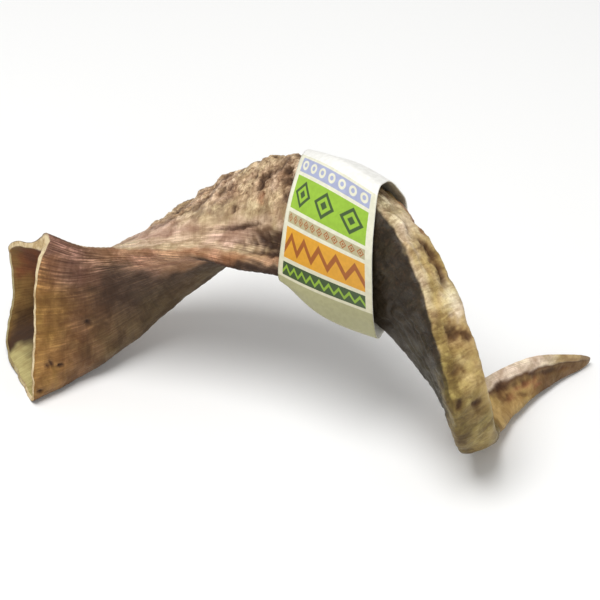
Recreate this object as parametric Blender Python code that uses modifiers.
"""A ram's horn, sawn off at its hollow base and wrapped in a loose paper label band.

The horn is one solid. It grows along a coil about the X axis, with a four-cornered section that keeps its
place to the coil: corner D is the outer keel, C the shoulder beside it, A the long inner edge and B the
back edge. It lies on its rim, on the bottom of its coil and on its tip.
"""

import math

import bmesh
import bpy
import numpy as np
from mathutils import Matrix, Vector, noise

MM = 0.001

# The coil, in millimetres and degrees. An angle of 0 is away from the front, 90 is up.
COIL_Y, COIL_Z = 0.0, 55.0
# Places along the horn, from the rim to the tip: coil angle, distance along the coil's axis, coil radius.
PLACES = {
    "rim": (-40, -140, 29),
    "throat": (-27, -116, 36),
    "first quarter": (0, -73, 46),
    "before the band": (28, -30, 54),
    "under the band": (62, 7, 57),
    "after the band": (98, 40, 57),
    "shoulder": (134, 63, 50),
    "steep run": (182, 80, 58),
    "low bend": (228, 90, 49),
    "tip run": (280, 121, 45),
    "tip": (304, 158, 62),
}

# Direction of each corner from the centre line, in degrees, from straight out of the coil round the horn's line.
CORNERS = {"A": 126, "B": 278, "D": 358, "C": 60}
# Reach of the corners A, B, D and C from the centre line at a share of the horn's length.
REACHES = {
    0.00: (56, 46, 47, 57),
    0.05: (50, 43, 42, 35),
    0.14: (51, 36, 39, 25),
    0.30: (48, 38, 37, 23),
    0.52: (40, 24, 28, 17),
    0.70: (23, 20, 21, 9),
    0.82: (18, 15, 15, 9),
    1.00: (5, 5, 5, 3),
}
CORNER_SOFTNESS = 0.28  # share of a side that the rounding of a corner takes at each end
# The section turns a little against the coil: degrees at a share of the length.
TWIST = {0.00: 0, 0.25: 10, 0.65: 12, 1.00: 36}
# The saw cut slants: the rim runs back along the horn by these shares of the way out of the coil and across.
RIM_SLANT = (-0.26, 0.23)
SLANT_FADES_BY = 0.22

RINGS = 150
POINTS_ROUND = 24
TIP_ROUNDS_FROM = 0.985
TIP_LAST_RING = 0.14  # size of the last ring against the section
TIP_STICKS_OUT = 0.6

# The hollow that held the bone core.
WALL_AT_RIM = 3.0
HOLLOW_ENDS_AT = 0.46
HOLLOW_RINGS = 16
LAST_HOLLOW_RING = 0.96  # share of the hollow's depth

# Growth ridges run across faces B to D and D to C, further apart towards the tip. Places round the section count
# the corners: A is 0, B 1, D 2 and C 3.
RIDGE_SPACING_AT_RIM, RIDGE_SPACING_AT_TIP = 12.0, 19.0
RIDGE_HEIGHT = 1.5
RIDGED_FACES = (2.0, 1.15)  # middle and half width round the section
RIDGES_BEGIN, RIDGES_ARE_FULL = 0.07, 0.19
FULL_SIZE_REACH = 36.0  # where corner D reaches less than this, the ridges shrink with the horn
# Long hollows in the surface: depth, then the middle and half width round the section and along the horn.
SURFACE_HOLLOWS = {
    "trough on the inner face": (2.2, (3.55, 0.34), (0.36, 0.26)),
    "hollow under the long inner edge": (1.8, (0.3, 0.26), (0.2, 0.2)),
    "dip of the rim": (6.0, (3.5, 0.45), (0.0, 0.08)),
}

# The horn lies on the lowest point of each of these stretches of its length.
CONTACTS = {"rim": (0, 0.05), "low bend": (0.6, 0.9), "tip": (0.95, 1)}
LEVELLING_PASSES = 4

# The label band is a loose paper sleeve. Each loop goes round it in millimetres: top front, front, front crease,
# bottom, back low, back, back top, top. The left loop hugs the horn and the right one hangs and stands off.
BAND_LOOPS = {
    0.0: (
        (2, 42, 138), (-7, 11, 122), (-12, -8, 90), (-6, -6, 86),
        (3, 9, 87), (11, 26, 92), (30, 53, 105), (15, 51, 122),
    ),
    0.4: (
        (15, 20, 146), (5, -1, 122), (5, -18, 88), (7, -18, 76),
        (13, -5, 76), (25, 13, 92), (40, 38, 111), (27, 31, 136),
    ),
    1.0: (
        (37, -10, 148), (32, -26, 123), (33, -34, 88), (38, -31, 68),
        (44, -21, 70), (51, -4, 97), (55, 14, 122), (45, 4, 143),
    ),
}
BAND_THICKNESS = 0.8
BAND_POINTS_ROUND = 32
BAND_STEPS_ALONG = 7
BAND_SOFTNESS = 0.34


def natural_cubic(keys, values):
    """A smooth curve through values at keys, as a function of the key."""
    keys = np.asarray(keys, float)
    values = np.asarray(values, float).reshape(len(keys), -1)
    gap = np.diff(keys)
    slope = np.diff(values, axis=0) / gap[:, None]
    system = np.eye(len(keys))
    right = np.zeros_like(values)
    for i in range(1, len(keys) - 1):
        system[i, i - 1 : i + 2] = gap[i - 1], 2 * (gap[i - 1] + gap[i]), gap[i]
        right[i] = 6 * (slope[i] - slope[i - 1])
    bend = np.linalg.solve(system, right)

    def curve(at):
        at = np.atleast_1d(np.asarray(at, float))
        i = np.clip(np.searchsorted(keys, at, side="right") - 1, 0, len(gap) - 1)
        before = (at - keys[i])[:, None]
        after = (keys[i + 1] - at)[:, None]
        width = gap[i][:, None]
        return (
            bend[i] * after**3 / (6 * width)
            + bend[i + 1] * before**3 / (6 * width)
            + (values[i] / width - bend[i] * width / 6) * after
            + (values[i + 1] / width - bend[i + 1] * width / 6) * before
        )

    return curve


def centre_line():
    """The horn's centre line as a curve over its share of the length, and that length."""
    points = []
    for angle, along, radius in PLACES.values():
        turn = math.radians(angle)
        points.append((along, COIL_Y + radius * math.cos(turn), COIL_Z + radius * math.sin(turn)))
    points = np.array(points)
    steps = np.linalg.norm(np.diff(points, axis=0), axis=1)
    reached = np.concatenate([[0], np.cumsum(steps)])
    return natural_cubic(reached / reached[-1], points), reached[-1]


LINE, LENGTH = centre_line()
REACH = natural_cubic(list(REACHES), list(REACHES.values()))
TURN = natural_cubic(list(TWIST), list(TWIST.values()))


def frame_at(share):
    """The centre, the direction along, the way out of the coil and the way across at a share of the length."""
    small = 1e-4
    centre = LINE(share)[0]
    along = LINE(share + small)[0] - LINE(share - small)[0]
    along /= np.linalg.norm(along)
    out = centre - np.array([centre[0], COIL_Y, COIL_Z])
    out -= along * (along @ out)
    out /= np.linalg.norm(out)
    return centre, along, out, np.cross(along, out)


def section_corners(share):
    """The corners A, B, D, C at a share of the length, as (out, across)."""
    turn = TURN(share)[0, 0]
    reaches = REACH(share)[0]
    directions = np.radians(np.array(list(CORNERS.values())) + turn)
    return np.stack([reaches * np.cos(directions), reaches * np.sin(directions)], -1)


def round_section(corners, around, softness=CORNER_SOFTNESS):
    """The point at around, which counts the corners from 0, on a section with its corners rounded."""
    count = len(corners)
    nearest = int(math.floor(around + 0.5))
    offset = around - nearest
    corner = corners[nearest % count]
    side = corners[(nearest + (1 if offset > 0 else -1)) % count] - corner
    if abs(offset) >= softness:
        return corner + side * abs(offset)
    before = corner + (corners[(nearest - 1) % count] - corner) * softness
    after = corner + (corners[(nearest + 1) % count] - corner) * softness
    along = (offset + softness) / (2 * softness)
    return before * (1 - along) ** 2 + corner * 2 * along * (1 - along) + after * along**2


def bump(value, middle, half_width):
    """A smooth hill of height 1 around middle, down to 0 at half_width."""
    distance = abs(value - middle) / half_width
    return 0.0 if distance >= 1 else (0.5 + 0.5 * math.cos(math.pi * distance))


def ridge_count(share):
    """How many growth ridges lie between the rim and a share of the length."""
    growth = RIDGE_SPACING_AT_TIP / RIDGE_SPACING_AT_RIM - 1
    return LENGTH / RIDGE_SPACING_AT_RIM * math.log(1 + growth * share) / growth


def wobble(share, around, fine_along, fine_round, seed):
    """Smooth noise between -1 and 1 over the horn's surface."""
    return noise.noise(Vector((share * fine_along, around * fine_round, seed)))


def relief(share, around):
    """How far the surface stands out from the plain section, in millimetres."""
    wander = 0.35 * wobble(share, around, 9, 1.3, 4) + 0.12 * math.sin(around * 2.6)
    crest = math.sin(math.tau * (ridge_count(share) + wander))
    strength = 0.75 + 0.9 * wobble(share, around, 23, 2.1, 9)
    fade_in = min(1.0, max(0.0, (share - RIDGES_BEGIN) / (RIDGES_ARE_FULL - RIDGES_BEGIN)))
    height = RIDGE_HEIGHT * strength * fade_in * bump(around, *RIDGED_FACES) * crest
    for depth, round_it, along_it in SURFACE_HOLLOWS.values():
        height -= depth * bump(around, *round_it) * bump(share, *along_it)
    return height * min(1.0, REACH(share)[0, 2] / FULL_SIZE_REACH)


def ring(share, inset=0.0, shrink=1.0, plain=False):
    """One loop of the horn's surface, as points in millimetres."""
    centre, along, out, across = frame_at(share)
    corners = section_corners(share)
    places = np.arange(POINTS_ROUND) * 4 / POINTS_ROUND
    flat = np.array([round_section(corners, place) for place in places])
    edge = np.roll(flat, -1, axis=0) - np.roll(flat, 1, axis=0)
    outward = np.stack([edge[:, 1], -edge[:, 0]], -1)
    outward /= np.linalg.norm(outward, axis=1)[:, None]
    raised = [0.0 if plain else relief(share, place) for place in places]
    flat = flat + outward * (np.array(raised) - inset)[:, None]
    if share > TIP_ROUNDS_FROM:
        past = (share - TIP_ROUNDS_FROM) / (1 - TIP_ROUNDS_FROM)
        shrink *= max(TIP_LAST_RING, math.sqrt(1 - past**2))
    middle = flat.mean(axis=0)
    flat = middle + (flat - middle) * shrink
    fade = max(0.0, 1 - share / SLANT_FADES_BY) ** 1.5
    lean = (flat @ np.array(RIM_SLANT)) * fade
    return centre + flat[:, :1] * out + flat[:, 1:] * across + lean[:, None] * along


def hollow_shrink(share):
    """The size of the hollow against the horn's own section."""
    return max(0.0, 1 - (share / HOLLOW_ENDS_AT) ** 1.7) ** 0.8


def add_material(obj, name, colour, roughness):
    material = bpy.data.materials.new(name)
    material.use_nodes = True
    shader = material.node_tree.nodes["Principled BSDF"]
    shader.inputs["Base Color"].default_value = (*colour, 1.0)
    shader.inputs["Roughness"].default_value = roughness
    shader.inputs["Metallic"].default_value = 0.0
    obj.data.materials.append(material)


def mesh_object(name, form, collection):
    mesh = bpy.data.meshes.new(name)
    form.to_mesh(mesh)
    form.free()
    obj = bpy.data.objects.new(name, mesh)
    collection.objects.link(obj)
    return obj


def bridge(form, first, second):
    """Faces between two loops of the same number of points."""
    for i in range(len(first)):
        j = (i + 1) % len(first)
        form.faces.new((first[i], first[j], second[j], second[i]))


def make_horn(collection):
    """The horn: an outer skin from the rim to the tip, and a hollow inside it from the same rim."""
    form = bmesh.new()

    def add_loop(points):
        return [form.verts.new(Vector(point) * MM) for point in points]

    shares = np.linspace(0, 1, RINGS)
    outer = [add_loop(ring(share)) for share in shares]
    for first, second in zip(outer, outer[1:]):
        bridge(form, second, first)
    tip = form.verts.new(Vector(LINE(1.0)[0] + TIP_STICKS_OUT * frame_at(1.0)[1]) * MM)
    last = outer[-1]
    for i in range(POINTS_ROUND):
        form.faces.new((last[i], tip, last[(i + 1) % POINTS_ROUND]))

    depths = HOLLOW_ENDS_AT * np.linspace(0, LAST_HOLLOW_RING, HOLLOW_RINGS)
    inner = [add_loop(ring(share, WALL_AT_RIM, hollow_shrink(share), plain=share > 0)) for share in depths]
    for first, second in zip(inner, inner[1:]):
        bridge(form, first, second)
    end = form.verts.new(Vector(LINE(HOLLOW_ENDS_AT)[0]) * MM)
    last = inner[-1]
    for i in range(POINTS_ROUND):
        form.faces.new((last[i], last[(i + 1) % POINTS_ROUND], end))
    bridge(form, outer[0], inner[0])
    bmesh.ops.recalc_face_normals(form, faces=form.faces)
    horn = mesh_object("horn", form, collection)
    horn.data.shade_smooth()
    add_material(horn, "horn_keratin", (0.36, 0.24, 0.13), 0.5)
    return horn


def make_label_band(collection):
    """The paper label band: an open sleeve round the horn, given its thickness by Solidify."""
    form = bmesh.new()
    corner_count = len(BAND_LOOPS[0.0])
    loops_along = natural_cubic(list(BAND_LOOPS), [np.ravel(loop) for loop in BAND_LOOPS.values()])
    loops = []
    for along in np.linspace(0, 1, BAND_STEPS_ALONG + 1):
        corners = loops_along(along).reshape(corner_count, 3)
        places = np.arange(BAND_POINTS_ROUND) * corner_count / BAND_POINTS_ROUND
        points = [round_section(corners, place, BAND_SOFTNESS) for place in places]
        loops.append([form.verts.new(Vector(point) * MM) for point in points])
    for first, second in zip(loops, loops[1:]):
        bridge(form, first, second)
    bmesh.ops.recalc_face_normals(form, faces=form.faces)
    band = mesh_object("label_band", form, collection)
    band.data.shade_smooth()
    wall = band.modifiers.new("paper", "SOLIDIFY")
    wall.thickness = BAND_THICKNESS * MM
    wall.offset = 0.0
    add_material(band, "label_paper", (0.86, 0.83, 0.74), 0.6)
    return band


def stand_on_floor(pieces, horn):
    """Turns the pieces so that the horn's three contacts touch the floor, and centres them."""
    points = np.array([vertex.co for vertex in horn.data.vertices])
    outer = points[: RINGS * POINTS_ROUND].reshape(RINGS, POINTS_ROUND, 3)

    def lowest(start, stop):
        zone = outer[int(start * RINGS) : int(stop * RINGS)].reshape(-1, 3)
        return Vector(zone[zone[:, 2].argmin()])

    for _ in range(LEVELLING_PASSES):
        rim, bend, tip = (lowest(start, stop) for start, stop in CONTACTS.values())
        up = (bend - rim).cross(tip - rim).normalized()
        if up.z < 0:
            up.negate()
        turn = up.rotation_difference(Vector((0, 0, 1))).to_matrix().to_4x4()
        for piece in pieces:
            piece.data.transform(turn)
        outer = outer @ np.array(turn.to_3x3()).T
    corners = np.concatenate([[vertex.co for vertex in piece.data.vertices] for piece in pieces])
    low, high = corners.min(axis=0), corners.max(axis=0)
    shift = Vector((-(low[0] + high[0]) / 2, -(low[1] + high[1]) / 2, -low[2]))
    for piece in pieces:
        piece.data.transform(Matrix.Translation(shift))


def clear_scene():
    for obj in list(bpy.data.objects):
        bpy.data.objects.remove(obj, do_unlink=True)


def main():
    clear_scene()
    collection = bpy.data.collections.new("ram_horn")
    bpy.context.scene.collection.children.link(collection)
    horn = make_horn(collection)
    band = make_label_band(collection)
    stand_on_floor([horn, band], horn)


main()
